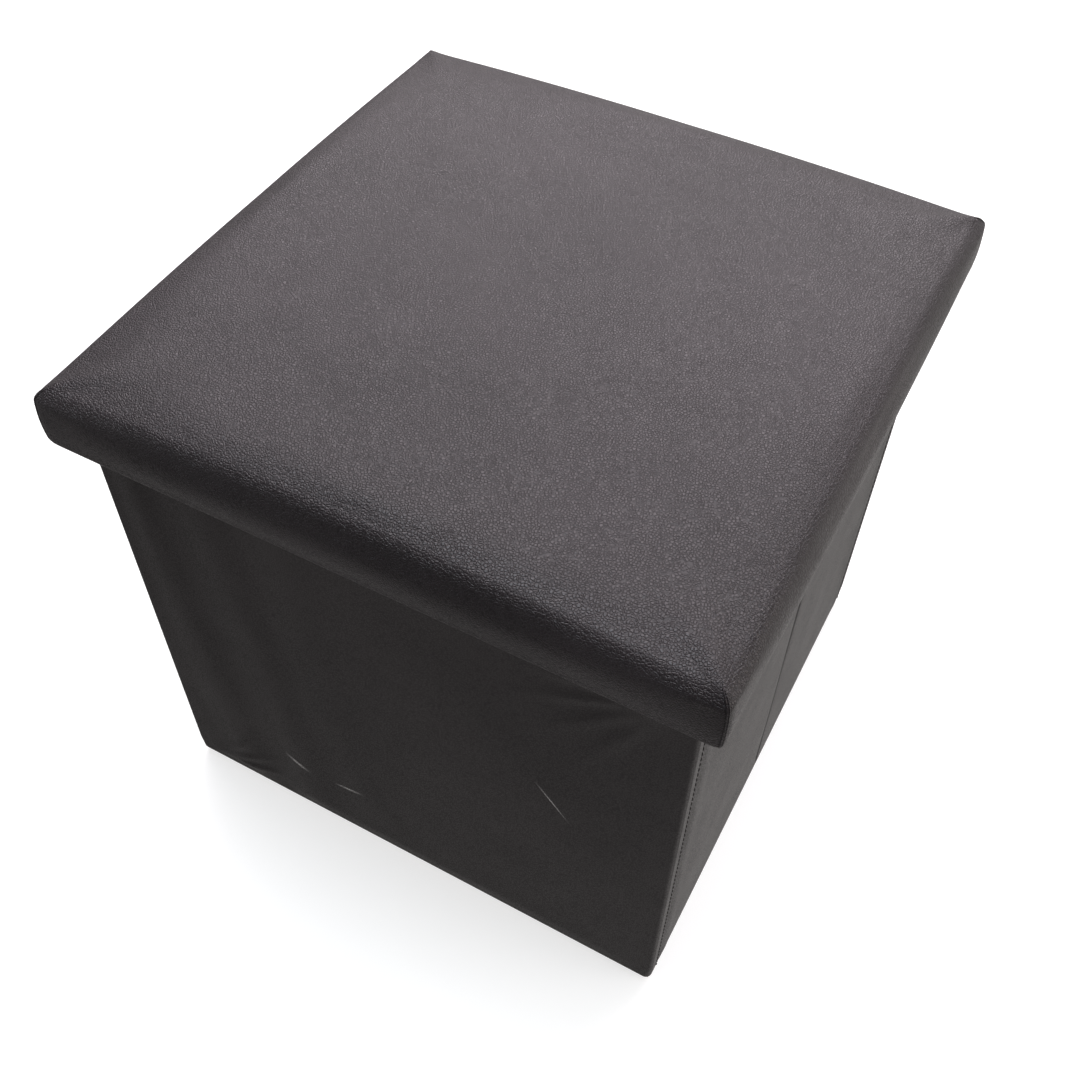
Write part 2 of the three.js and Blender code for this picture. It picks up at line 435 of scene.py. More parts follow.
def beads(name, rings, ends, material):
    """Closed bodies, all alike: rings (count, rows, columns, 3) with ends (count, 2, 3) as poles."""
    count, rows, columns = rings.shape[:3]
    size = rows * columns + 2
    points = np.concatenate([rings.reshape(count, -1, 3), ends], axis=1)
    ring = np.arange(columns)
    after = (ring + 1) % columns
    last = (rows - 1) * columns
    first_pole = np.stack([np.full(columns, size - 2), after, ring], axis=-1)
    last_pole = np.stack([np.full(columns, size - 1), last + ring, last + after], axis=-1)
    shift = size * np.arange(count)[:, None, None]
    quads = (grid_faces(rows, columns, closed=True) + shift).reshape(-1, 4).tolist()
    fans = (np.concatenate([first_pole, last_pole]) + shift).reshape(-1, 3).tolist()
    return new_piece(name, points, quads + fans, material)


print("a grid of 3 x 4 points has", len(grid_faces(3, 4)), "faces")

# %% [markdown]
# ## Unevenness
#
# Leather over board is never flat: it has long slow swells from the way it was glued, and short soft
# folds where it was pulled round a corner. A noise texture could push the surface about, but it can't
# be told where to fold. So the swells are a few sine waves of random direction from a seeded generator,
# and each fold is one bell-shaped ridge with a place and a direction.


# %% Swells and folds
def swells(across, up, seed, wavelength, height):
    """The mean of six sine waves with random directions and phases, times height."""
    chance = np.random.default_rng(seed)
    total = np.zeros(np.broadcast(across, up).shape)
    for _ in range(6):
        angle, phase = chance.uniform(0, 2 * math.pi, 2)
        pitch = 2 * math.pi / (wavelength * chance.uniform(0.7, 1.5))
        total += np.sin(pitch * (across * math.cos(angle) + up * math.sin(angle)) + phase)
    return height * total / 6


def fold(across, up, place, angle, length, width, height):
    """A ridge exp(-(p / length)^2 - (q / width)^2), with p along its direction and q across it."""
    c, s = math.cos(math.radians(angle)), math.sin(math.radians(angle))
    p = (across - place[0]) * c + (up - place[1]) * s
    q = (up - place[1]) * c - (across - place[0]) * s
    return height * np.exp(-((p / length) ** 2) - (q / width) ** 2)


def rise(values, low, high):
    """0 below low, 1 above high, 3 t^2 - 2 t^3 between them."""
    t = np.clip((values - low) / (high - low), 0, 1)
    return t * t * (3 - 2 * t)


print("halfway up a rise:", rise(0.5, 0, 1))

# %% [markdown]
# ## The seat cover
#
# The cover is one piece of leather from the middle of the seat over the padded edge, down the band and
# round its lower hem, sewn only at the four corners. A cube with bevelled edges would be quicker, but
# its corners would be alike in every direction. Here the grid is made of square rings: each ring's size
# and height come from one profile, and the corner seams fall on the grid's diagonals. The middle of the
# seat is highest, the edges are a little lower, and the corners, pulled down by their seams, the lowest.

# %% The square rings
TOP_RINGS, EDGE_RINGS, BAND_RINGS, HEM_RINGS, FLAP_RINGS = 38, 7, 8, 4, 3
CORNER_ROUND = 3 * MM


def square_rings(count):
    """Ring number, whether a point faces along x, its place along its side (0 in the middle, 1 at a
    corner), and the signs of its x and y."""
    steps = np.arange(-count, count + 1)
    i, j = np.meshgrid(steps, steps, indexing="xy")
    ring = np.maximum(np.abs(i), np.abs(j))
    on_x = np.abs(i) >= np.abs(j)
    along = np.where(on_x, np.abs(j), np.abs(i)) / np.maximum(ring, 1)
    return ring, on_x, along, np.sign(i), np.sign(j)


def square_plan(count, half):
    """Plan of square rings with half-widths half[ring] and corners rounded in an eighth turn per side."""
    ring, on_x, along, sign_x, sign_y = square_rings(count)
    size = half[ring]
    radius = np.minimum(CORNER_ROUND, 0.3 * size)
    straight = size - radius
    angle = np.clip((along * size - straight) / np.maximum(radius, 1e-9), 0, 1) * math.pi / 4
    main = straight + radius * np.cos(angle)
    side = np.where(angle > 0, straight + radius * np.sin(angle), along * size)
    x = sign_x * np.where(on_x, main, side)
    y = sign_y * np.where(on_x, side, main)
    return ring, x, y


print("three square rings round a point make a grid of", square_rings(3)[0].shape)

# %% The seat's form
EDGE_ROUND = 8 * MM
CORNER_HEIGHT = 11 * MM
EDGE_BOW = 4.5 * MM
CROWN_POWER = 2.4
BAND_BELLY = 0.5 * MM
HEM_ROUND = 0.9 * MM
HEM_TUCK = 0.3 * MM
HEM_DEPTH = 10 * MM


def seat_height(x, y):
    """Corner height, + a bow that vanishes at the corners, + a crown that vanishes at the edges."""
    a, b = np.abs(x) / LID_HALF, np.abs(y) / LID_HALF
    crown = CORNER_HEIGHT - EDGE_BOW
    lowest = LID_CROWN - CORNER_HEIGHT
    bow = EDGE_BOW * (1 - (a * b) ** 2)
    return lowest + bow + crown * (1 - a**CROWN_POWER) * (1 - b**CROWN_POWER)


def cover_profile():
    """Half-width, drop from the seat's form, and share of the way down the band, for each ring."""
    top = np.linspace(0, LID_HALF - EDGE_ROUND, TOP_RINGS + 1)
    turn = np.linspace(0, QUARTER, EDGE_RINGS + 1)[1:]
    edge = LID_HALF - EDGE_ROUND * (1 - np.sin(turn))
    down = np.linspace(0, 1, BAND_RINGS + 1)[1:]
    belly = LID_HALF + BAND_BELLY * np.sin(math.pi * down) - HEM_TUCK * down**3
    half = np.concatenate([top, edge, belly])
    drop = np.concatenate([0 * top, EDGE_ROUND * (1 - np.cos(turn)), 0 * down + EDGE_ROUND])
    share = np.concatenate([0 * top, 0 * turn, down])
    return half, drop, share


def cover_points():
    """The cover down to its hem: seat form less the profile's drop, then down the band."""
    half, drop, share = cover_profile()
    count = len(half) - 1
    ring, x, y = square_plan(count, half)
    z = seat_height(x, y) - drop[ring]
    hem = LID_FOOT + HEM_ROUND
    return np.stack([x, y, z + (hem - z) * share[ring]], axis=-1), ring


cover, cover_ring = cover_points()
print("seat cover grid:", cover.shape[:2])

# %% [markdown]
# ### Foam under the leather
#
# What makes a seat look soft is the foam pushing the leather out between the places where it is held.
# A formula gives the even part of that, but not how leather gathers beside a seam. Blender's Cloth
# does: the grid is a cloth held at its hem and its corner seams, gravity is off, and air pressure stands
# for the foam. No point may move more than a few millimetres, and the result is brought back to the
# height that the seat has in its frame.


# %% Swell the cover
SWELL_LIMIT = 2.2 * MM
SWELL_PRESSURE = 4.0
SWELL_FRAMES = 20
CLOTH_SETTINGS = {
    "use_pressure": True, "uniform_pressure_force": SWELL_PRESSURE,
    "tension_stiffness": 25, "compression_stiffness": 25, "bending_stiffness": 2.0,
}
LEVELLED_EDGE = 80 * MM
TOP_MARGIN = 0.5 * MM


def swollen(points, held):
    """Where the points go when the cloth between the held ones is blown out."""
    piece = new_piece("cloth", points, grid_faces(*points.shape[:2]), seat_leather)
    group = piece.vertex_groups.new(name="held")
    group.add(np.flatnonzero(held.ravel()).tolist(), 1.0, "REPLACE")
    cloth = piece.modifiers.new("cloth", "CLOTH")
    cloth.settings.vertex_group_mass = group.name
    cloth.settings.effector_weights.gravity = 0
    for key, value in CLOTH_SETTINGS.items():
        setattr(cloth.settings, key, value)
    cloth.collision_settings.use_collision = False
    cloth.point_cache.frame_end = SWELL_FRAMES
    for step in range(1, SWELL_FRAMES + 1):
        scene.frame_set(step)
    shown = piece.evaluated_get(bpy.context.evaluated_depsgraph_get())
    moved = np.zeros(points.size)
    shown.data.vertices.foreach_get("co", moved)
    scene.frame_set(1)
    bpy.data.objects.remove(piece)
    return moved.reshape(points.shape)


def limited(shift, most):
    """Moves of more than `most` are shortened smoothly: m tanh(length / m)."""
    length = np.linalg.norm(shift, axis=-1, keepdims=True)
    return shift * (most * np.tanh(length / most) / np.maximum(length, 1e-9))


def swell_cover(points, ring):
    """Limited moves, less the middle's own rise, so that only the seat's edges gain from them."""
    size = len(ring) // 2
    steps = np.abs(np.arange(-size, size + 1))
    on_seam = (steps[:, None] == steps[None, :]) & (ring > TOP_RINGS + 2)
    held = on_seam | (ring >= TOP_RINGS + EDGE_RINGS + BAND_RINGS - 1)
    shift = limited(swollen(points, held) - points, SWELL_LIMIT)
    middle = shift[size, size, 2]
    print(f"swell: up to {np.abs(shift).max() / MM:.1f} mm, seat middle {middle / MM:.1f} mm")
    from_edge = LID_HALF - np.abs(points[..., :2]).max(-1)
    shift[..., 2] -= middle * rise(from_edge, 0, LEVELLED_EDGE)
    return points + shift


cover = swell_cover(cover, cover_ring)
missing_height = LID_CROWN - TOP_MARGIN - cover[..., 2].max()
cover[..., 2] += missing_height * rise(cover[..., 2], LID_FOOT, LID_CROWN)
print(f"seat top at {cover[..., 2].max():.4f} m")

# %% [markdown]
# ### The hem
#
# At its lower edge the leather turns round the rim and is glued up inside it. That fold is what draws
# a thin bright line along the bottom of the lid. A separate strip would leave a gap there, so the rings
# of the hem continue the same grid: half a turn of a small radius, and a short flap up the inside.


# %% The hem and the finished cover
FLAP_GAP = 0.5 * MM
SEAT_LEATHER_THICKNESS = 0.8 * MM


def with_hem(points):
    """The grid with rings added round it: a half turn inwards, then the flap."""
    size = points.shape[0] // 2
    added = HEM_RINGS + FLAP_RINGS
    half = np.full(size + added + 1, LID_HALF - HEM_TUCK)
    turn = np.linspace(0, math.pi, HEM_RINGS + 1)[1:]
    inner = RIM_INSIDE - FLAP_GAP
    reach = (LID_HALF - HEM_TUCK - inner) / 2
    flap = np.linspace(0, 1, FLAP_RINGS + 1)[1:]
    half[size + 1:] = np.concatenate([inner + reach * (1 + np.cos(turn)), np.full(FLAP_RINGS, inner)])
    height = np.full(size + added + 1, LID_FOOT + HEM_ROUND)
    height[size + 1:] = np.concatenate([LID_FOOT + HEM_ROUND * (1 - np.sin(turn) ** 0.5),
                                        LID_FOOT + HEM_ROUND + HEM_DEPTH * flap])
    ring, x, y = square_plan(size + added, half)
    whole = np.stack([x, y, height[ring]], axis=-1)
    whole[added:-added, added:-added] = points
    return whole


def padded_look(piece):
    """One level of subdivision, the same in the view and in the render."""
    smooth = piece.modifiers.new("smooth", "SUBSURF")
    smooth.levels = smooth.render_levels = 1


whole_cover = with_hem(cover)
seat_cover = skin("seat_cover_leather", whole_cover, seat_leather, SEAT_LEATHER_THICKNESS)
padded_look(seat_cover)
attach(seat_cover, "lid")
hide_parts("seat_cover")
print("cover:", len(seat_cover.data.polygons), "faces before subdivision")

# %% [markdown]
# ### The foam itself
#
# The foam fills the space under the cover. It could be a block of its own, but then it might push
# through. So it is the cover's own surface moved inwards along its normals, and closed underneath by a
# flat face on the lid's board.

# %% The foam pad
FOAM_SLACK = 1.8 * MM
FOAM_HALF = -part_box("lid_rim_front")[0].y - 0.3 * MM


def grid_normals(points):
    """Unit normals of a grid: the cross product of its two directions of change."""
    down, along = np.gradient(points, axis=(0, 1))
    normal = np.cross(along, down)
    return normal / np.maximum(np.linalg.norm(normal, axis=-1, keepdims=True), 1e-12)


def add_foam():
    """The cover less FOAM_SLACK along its normals, kept inside the rims, and its flat shadow below."""
    inner = cover - FOAM_SLACK * grid_normals(cover)
    kept = TOP_RINGS + EDGE_RINGS + 1
    size = cover.shape[0] // 2
    top = inner[size - kept:size + kept + 1, size - kept:size + kept + 1].copy()
    rim = np.maximum(*np.meshgrid(*[np.abs(np.arange(-kept, kept + 1))] * 2)) == kept
    top[rim, 2] = FOAM_FOOT
    widest = np.abs(top[..., :2]).max(axis=-1, keepdims=True)
    top[..., :2] *= np.minimum(1, FOAM_HALF / np.maximum(widest, FOAM_HALF / 2))
    top[..., 2] = np.maximum(top[..., 2], FOAM_FOOT)
    under = top.copy()
    under[..., 2] = FOAM_FOOT
    side = 2 * kept + 1
    faces = grid_faces(side, side)
    below = faces[:, ::-1] + side * side
    piece = new_piece("seat_foam_pad", np.stack([top, under]), np.concatenate([faces, below]), foam_finish)
    weld(piece)
    return piece


def weld(piece):
    """Joins points at the same place and turns every face outwards."""
    mesh = bmesh.new()
    mesh.from_mesh(piece.data)
    bmesh.ops.remove_doubles(mesh, verts=mesh.verts, dist=0.02 * MM)
    bmesh.ops.recalc_face_normals(mesh, faces=mesh.faces)
    mesh.to_mesh(piece.data)
    mesh.free()


foam_pad = add_foam()
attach(foam_pad, "lid")
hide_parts("seat_foam")
print("foam:", len(foam_pad.data.polygons), "faces")

# %% [markdown]
# ### The corner seams of the lid
#
# At each corner the two edges of the leather are sewn together inside out, which leaves two rounded
# lips with a dark line between them and a small point at the top. A dark line in the colour would look
# drawn on, so a cross-section with two humps is carried down the corner of the finished cover.


# %% Corner seams
SEAM_WIDTH = 2.0 * MM
SEAM_HEIGHT = 0.5 * MM
SEAM_SINK = 0.1 * MM


def smoothed(points):
    """Where subdivision finally puts a grid's inner points: (16 own + 4 sides + 1 corners) / 36."""
    result = points.copy()
    own = 4 * points[:, 1:-1] + points[:, :-2] + points[:, 2:]
    result[1:-1, 1:-1] = (4 * own[1:-1] + own[:-2] + own[2:]) / 36
    return result


def swept(name, path, out, across, profile, material):
    """A closed bar: profile (k, 2) gives (across, out) at each point of the path, and its ends taper."""
    scale = np.clip(np.minimum(np.arange(len(path)), np.arange(len(path))[::-1]) / 2 + 0.3, 0, 1)
    offsets = profile[None] * scale[:, None, None]
    rings = (path[:, None] + offsets[..., :1] * across[:, None] + offsets[..., 1:] * out[:, None])
    return beads(name, rings[None], np.stack([path[0], path[-1]])[None], material)


def two_humps(width, height):
    """Closed outline: out = height * (0.12 + |sin(pi w)|^0.8) over the top, and flat underneath."""
    w = np.linspace(-1, 1, 17)
    top = height * (0.12 + np.abs(np.sin(math.pi * w)) ** 0.8)
    under = np.linspace(1, -1, 7)[1:-1]
    return np.concatenate([np.stack([w * width / 2, top], axis=-1),
                           np.stack([under * width / 2, 0 * under - 0.5 * height], axis=-1)])


def add_lid_seam(name, quarter):
    """The humps along the cover's diagonal; out is at right angles to it, away from the corner."""
    size = whole_cover.shape[0] // 2
    first, last = TOP_RINGS + 1, TOP_RINGS + EDGE_RINGS + BAND_RINGS + 1
    steps = size + np.arange(first, last + 1)
    path = turned(smoothed(whole_cover)[size * 2 - steps, steps], quarter * QUARTER)
    along = np.gradient(path, axis=0)
    along /= np.linalg.norm(along, axis=-1, keepdims=True)
    corner = turned(np.array([[1.0, -1.0, 0.0]]) / math.sqrt(2), quarter * QUARTER)
    side = turned(np.array([[1.0, 1.0, 0.0]]) / math.sqrt(2), quarter * QUARTER)
    out = np.cross(side, along)
    out *= np.sign((out * (corner + [[0, 0, 0.3]])).sum(-1, keepdims=True))
    across = np.repeat(side, len(path), axis=0)
    seam = swept(f"lid_seam_{name}", path - SEAM_SINK * out, out, across,
                 two_humps(SEAM_WIDTH, SEAM_HEIGHT), seat_leather)
    weld(seam)
    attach(seam, "lid")


LID_CORNERS = ("front_right", "back_right", "back_left", "front_left")
for number, corner_name in enumerate(LID_CORNERS):
    add_lid_seam(corner_name, number)
print("lid seams:", len(LID_CORNERS))

# %% [markdown]
# ## The leather of the walls
#
# The front and back leathers start at a sewn seam on one side of the box, go round the corner, across
# the wall, round the other corner and end at the other seam. A cloth simulation could wrap them, but
# the boards' edges would be lost in its steps. Their plan is a path of straight runs and quarter
# circles, and each row of the grid is that path at its own height, drawn in a little where the leather
# turns over the top edge or under the board's lower edge.

# %% The rows of a wall
LEATHER = 0.6 * MM
WRAP_ROUND = 2.4 * MM
FOOT_ROUND = 1.2 * MM
TOP_ROUND = 1.5 * MM
FLANGE_LIFT = 0.4 * MM
STITCH_INSET = 1.6 * MM
STITCH_SINK = 0.4 * MM
FACE_ROWS = 120


def wall_rows():
    """Inset and height of each row: a quarter turn at the foot, the face, a quarter turn at the top,
    and then over the top edge, where the last row turns a little way down inside."""
    turn = np.linspace(0, QUARTER, 4)
    face = np.linspace(WALL_FOOT + FOOT_ROUND, WALL_TOP - TOP_ROUND, FACE_ROWS)
    inset = np.concatenate([
        FOOT_ROUND * (1 - np.sin(turn[:-1])),
        0 * face,
        TOP_ROUND * (1 - np.cos(turn[1:])),
        [TOP_ROUND + 1.2 * MM, BOX_HALF - LINING_FACE - 1.1 * MM, BOX_HALF - LINING_FACE - 0.3 * MM],
    ])
    height = np.concatenate([
        WALL_FOOT + FOOT_ROUND * (1 - np.cos(turn[:-1])),
        face,
        WALL_TOP - TOP_ROUND * (1 - np.sin(turn[1:])),
        [WALL_TOP, WALL_TOP, WALL_TOP - 0.9 * MM],
    ])
    return inset[:, None], height[:, None]


print("rows of a wall:", len(wall_rows()[0]))


# %% The wrapped path
PUFFED_CORNER = 1.9 * MM
PUFFED_HEIGHT = 9 * MM


def wrapped_plan(inset, radius):
    """From the middle of the wall to the seam on its right: straight, quarter circle, straight. The
    third result is the direction, in radians, that each column faces."""
    half = BOX_HALF - inset
    r = np.maximum(radius - inset, 0.25 * MM)
    run = np.linspace(0, 1, 71)[:-1] * (half - r)
    turn = np.linspace(-QUARTER, 0, 7)[:-1]
    flange = np.linspace(0, 1, 15)
    reach = -(half - r) + ((half - r) - SEAM) * flange
    x = np.concatenate([run, half - r + r * np.cos(turn), half + 0 * reach], axis=1)
    y = np.concatenate([-half + 0 * run, -(half - r) + r * np.sin(turn), reach], axis=1)
    facing = np.concatenate([0 * run[0] - QUARTER, turn, 0 * flange])
    return x, y, facing


def end_wall_points(relief, turn):
    """The right half of the plan and its mirror, with relief(x, z) added along the normals."""
    inset, height = wall_rows()
    low_corner = PUFFED_CORNER * np.exp(-(((height - WALL_FOOT) / PUFFED_HEIGHT) ** 2))
    x, y, facing = wrapped_plan(inset, WRAP_ROUND + low_corner)
    x = np.concatenate([-x[:, :0:-1], x], axis=1)
    y = np.concatenate([y[:, :0:-1], y], axis=1)
    facing = np.concatenate([math.pi - facing[:0:-1], facing])
    z = height + 0 * x
    on_face = rise(height, WALL_FOOT + 1 * MM, WALL_FOOT + 14 * MM)
    on_face = on_face * (1 - rise(height, WALL_TOP - 12 * MM, WALL_TOP - 2 * MM))
    on_flange = np.abs(np.sin(facing)) < 1e-6
    from_stitches = (y + SEAM + STITCH_INSET) / (1.0 * MM)
    sewn = FLANGE_LIFT - STITCH_SINK * np.exp(-(from_stitches**2))
    out = np.where(on_flange, sewn, relief(x, z)) * on_face
    return turned(np.stack([x + out * np.cos(facing), y + out * np.sin(facing), z], axis=-1), turn)


print("columns of a wrapped wall:", 2 * wrapped_plan(np.zeros((1, 1)), WRAP_ROUND)[0].shape[1] - 1)

# %% [markdown]
# ### Relief of the front and back
#
# On the front the leather stands a little proud near its left side, in slow upright swells, and sinks
# under the lid towards the right. Short folds fan out from the lower left and the upper right corners,
# where it was pulled tight. The back has swells of its own. Real relief is worth its points here,
# because slanting light shows every one of these forms. It never sinks by more than half a millimetre,
# so the board behind can't show through.


# %% Front relief
MOST_SINK = 0.5 * MM
FULLNESS = 1.2 * MM
FOLD_HEIGHT = 1.1 * MM
UPPER_RIGHT = (BOX_HALF - 14.5 * MM, WALL_TOP - 25 * MM)
LOWER_LEFT = (-BOX_HALF + 19.5 * MM, WALL_FOOT + 7.5 * MM)


def flat_near_corners(x):
    """1 over most of a wall's width, falling to 0 before the leather turns the corner."""
    return 1 - rise(np.abs(x), BOX_HALF - 26 * MM, BOX_HALF - 5 * MM)


def fan(x, z, corner, reach, folds):
    """Folds that point away from a corner, each (angle, length, width) and centred `reach` from it."""
    total = 0
    for angle, length, width in folds:
        middle = (corner[0] + reach * math.cos(math.radians(angle)),
                  corner[1] + reach * math.sin(math.radians(angle)))
        total = total + fold(x, z, middle, angle, length, width, FOLD_HEIGHT)
    return total


def front_relief(x, z):
    """Slow swells, upright waves at the left, a hollow under the lid, and fans at two corners."""
    left = 1 - rise(x, -100 * MM, -10 * MM)
    wave = np.cos(2 * math.pi * (x + 150 * MM + 0.12 * (z - 200 * MM)) / (52 * MM))
    out = swells(x, z, 11, 190 * MM, 0.7 * MM) + FULLNESS + left * 0.8 * MM * wave
    out += fold(x, z, (95 * MM, 300 * MM), 8, 75 * MM, 30 * MM, -1.2 * MM)
    out += fan(x, z, UPPER_RIGHT, 34 * MM, [(196, 30 * MM, 3.2 * MM), (210, 36 * MM, 3.7 * MM),
                                            (226, 42 * MM, 4.2 * MM), (243, 48 * MM, 4.7 * MM)])
    out += fan(x, z, LOWER_LEFT, 26 * MM, [(14, 24 * MM, 2.6 * MM), (32, 24 * MM, 3.2 * MM),
                                           (52, 24 * MM, 3.8 * MM)])
    return np.maximum(out, -MOST_SINK) * flat_near_corners(x)


# %% Back relief
def back_relief(x, z):
    """Slow swells with one ridge low on its left and one hollow high on its right."""
    out = swells(x, z, 23, 160 * MM, 0.8 * MM) + FULLNESS
    out += fold(x, z, (-120 * MM, 60 * MM), 40, 45 * MM, 10 * MM, 0.8 * MM)
    out += fold(x, z, (90 * MM, 290 * MM), 150, 60 * MM, 12 * MM, -0.9 * MM)
    return np.maximum(out, -MOST_SINK) * flat_near_corners(x)


middle_of_wall = np.array([[0.0]]), np.array([[(WALL_FOOT + WALL_TOP) / 2]])
print(f"middle of the front: {front_relief(*middle_of_wall)[0, 0] / MM:.1f} mm proud")


# %% Front and back leather
def declare_skin(piece, body, node, flat):
    """Hides the node it stands for, rides on a body if one is given, and prints the size of its sheet."""
    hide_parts(node)
    if body:
        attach(piece, body)
    print(f"{piece.name}: sheet {flat[0]:.3f} x {flat[1]:.3f} m")


TURNED_EDGES = FOOT_ROUND + TOP_ROUND + BOX_HALF - LINING_FACE
WALL_CUT = WALL_TOP - WALL_FOOT + TURNED_EDGES - 2 * TOP_ROUND
END_CUT = 2 * (BOX_HALF + BOX_HALF - SEAM)
# Each end wall: its name, its body, its relief, and how far it is turned.
ENDS = (("front", "front_wall", front_relief, 0), ("back", "back_and_base", back_relief, math.pi))
for wall, body, relief, turn in ENDS:
    outer = skin(f"{wall}_wall_leather", end_wall_points(relief, turn), wall_leather, LEATHER)
    declare_skin(outer, body, f"{wall}_leather", (END_CUT, WALL_CUT))

# %% [markdown] ### The side walls Each side wall is two leathers that meet at the fold crease. Its
# other edge is tucked under the edge of the front or back leather and sewn there.

# %% Half walls
TUCK = 3 * MM
TUCK_DEPTH = 0.7 * MM
BLEND_LENGTH = 14 * MM
PUFF_HEIGHT, PUFF_PLACE, PUFF_WIDTH = 0.9 * MM, 9 * MM, 8 * MM
CREASE_DEPTH, CREASE_WIDTH = 0.6 * MM, 3.2 * MM


def tuck(from_seam):
    """-TUCK_DEPTH under the neighbour's edge, rising to 0 a few millimetres inside the seam."""
    return -TUCK_DEPTH * (1 - rise(from_seam, -0.5 * MM, 4 * MM))


def half_wall_relief(y, z, seed):
    """Sunk at the tucked edge, a soft puff beside it, swells, and a shallow valley at the crease."""
    from_seam = SEAM - np.abs(y)
    puff = PUFF_HEIGHT * np.exp(-(((from_seam - PUFF_PLACE) / PUFF_WIDTH) ** 2))
    slow = swells(y, z, seed, 130 * MM, 0.55 * MM) + 0.25 * MM
    slow = slow * rise(np.abs(y), 4 * MM, 34 * MM) * rise(from_seam, 0, 30 * MM)
    wander = 1 + 0.35 * np.sin(z * 31 + seed)
    valley = CREASE_DEPTH * wander * np.exp(-((y / CREASE_WIDTH) ** 2))
    return tuck(from_seam) + puff * rise(from_seam, 0, 6 * MM) + slow - valley


def half_wall_points(end, seed, turn):
    """Right-hand wall, from the crease to the seam: x = half - inset + relief, y along, z up.
    The columns stand closer together at both ends: share - 0.1 sin(2 pi share) / pi."""
    inset, height = wall_rows()
    share = np.linspace(0, 1, 50)
    eased = share - 0.10 * np.sin(2 * math.pi * share) / math.pi
    y = end * (0.1 * MM + (SEAM + TUCK - 0.1 * MM) * eased)[None]
    y = y if end > 0 else y[:, ::-1]
    on_face = rise(height, WALL_FOOT, WALL_FOOT + 10 * MM) * (1 - rise(height, WALL_TOP - 9 * MM, WALL_TOP))
    tucked = tuck(SEAM - np.abs(y))
    relief = half_wall_relief(y, height, seed)
    out = tucked + (relief - tucked) * on_face
    x = BOX_HALF - inset + np.where(inset > 2 * TOP_ROUND, 0, out)
    return turned(np.stack([x, y + 0 * x, height + 0 * x], axis=-1), turn)


# Each half wall: which way it runs from its crease, how far it is turned, and the body it is sewn to.
HALVES = {
    "right_front": (-1, 0, "front_wall"),
    "right_rear": (1, 0, "back_and_base"),
    "left_front": (1, math.pi, "front_wall"),
    "left_rear": (-1, math.pi, "back_and_base"),
}
for number, (name, (end, turn, neighbour)) in enumerate(HALVES.items()):
    outer = skin(f"{name}_wall_leather", half_wall_points(end, 40 + number, turn), wall_leather, LEATHER)
    declare_skin(outer, None, f"{name}_leather", (SEAM + TUCK, WALL_CUT))
    seam_at = turned(np.array([BOX_HALF, end * SEAM, WALL_FOOT]), turn)
    board_at = turned(np.array([BOX_HALF, end * (SEAM - BLEND_LENGTH), WALL_FOOT]), turn)
    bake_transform(outer)

# %% [markdown]
# ## The topstitched seams
#
# A line of stitches runs up the wrapped edge of the front and back leathers, just in from the edge.
# An Array modifier could repeat one stitch, but numpy copies it to every place along the seam at once
# and leaves nothing to apply. One stitch is a small capsule: a circle carried along its length, whose
# radius falls to nothing at both ends, and which sinks a little where the thread enters the leather.

# %% Stitches
STITCH_PITCH = 5.0 * MM
STITCH_LENGTH = 3.6 * MM
THREAD = 0.48 * MM


def stitch_row(name, starts, direction, outward, body):
    """Capsules, for t from -1 to 1 and a round the thread: start + t * length / 2 * direction
    - sag * outward + radius * (cos a * outward + sin a * side), radius = THREAD * sqrt(1 - t^4)."""
    t = np.linspace(-1, 1, 7)[1:-1]
    radius = THREAD * (1 - t**4) ** 0.5
    sag = 0.5 * THREAD * t**2
    angle = np.linspace(0, 2 * math.pi, 9)[:-1]
    side = np.cross(direction, outward)
    ring = radius[:, None, None] * (np.cos(angle)[None, :, None] * outward
                                    + np.sin(angle)[None, :, None] * side)
    line = (t * STITCH_LENGTH / 2)[:, None, None] * direction - sag[:, None, None] * outward
    rings = starts[:, None, None, :] + (ring + line)[None]
    tips = np.stack([-direction, direction]) * STITCH_LENGTH / 2 - 0.5 * THREAD * outward
    piece = beads(name, rings, starts[:, None] + tips[None], thread_finish)
    weld(piece)
    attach(piece, body)


def seam_stitches():
    """One upright row on each of the four wrapped edges."""
    up = np.array([0.0, 0.0, 1.0])
    heights = np.arange(WALL_FOOT + 5 * MM, WALL_TOP - 4 * MM, STITCH_PITCH)
    for side in (1, -1):
        for end, body in ((-1, "front_wall"), (1, "back_and_base")):
            y = end * (SEAM + STITCH_INSET)
            starts = np.stack([np.full(len(heights), side * (BOX_HALF + FLANGE_LIFT - 0.1 * MM)),
                               np.full(len(heights), y), heights], axis=-1)
            name = f"seam_stitches_{'front' if end < 0 else 'back'}_{'right' if side > 0 else 'left'}"
            stitch_row(name, starts, up, np.array([float(side), 0.0, 0.0]), body)
    return 4 * len(heights)


print("stitches:", seam_stitches())

# %% [markdown]
# ## The lining
#
# Inside, the walls and the floor are lined with spunbonded cloth, and so is the recess of the lid. It
# is glued only along its edges, so it lies a little uneven. It is too stiff to hang in folds, so swells
# by formula suit it better than a simulation. The walls' linings are plain grids, and the lid's lining
# and the fabric of the base are square rings again, with a profile each.

# %% Wall linings
CLOTH = 0.4 * MM


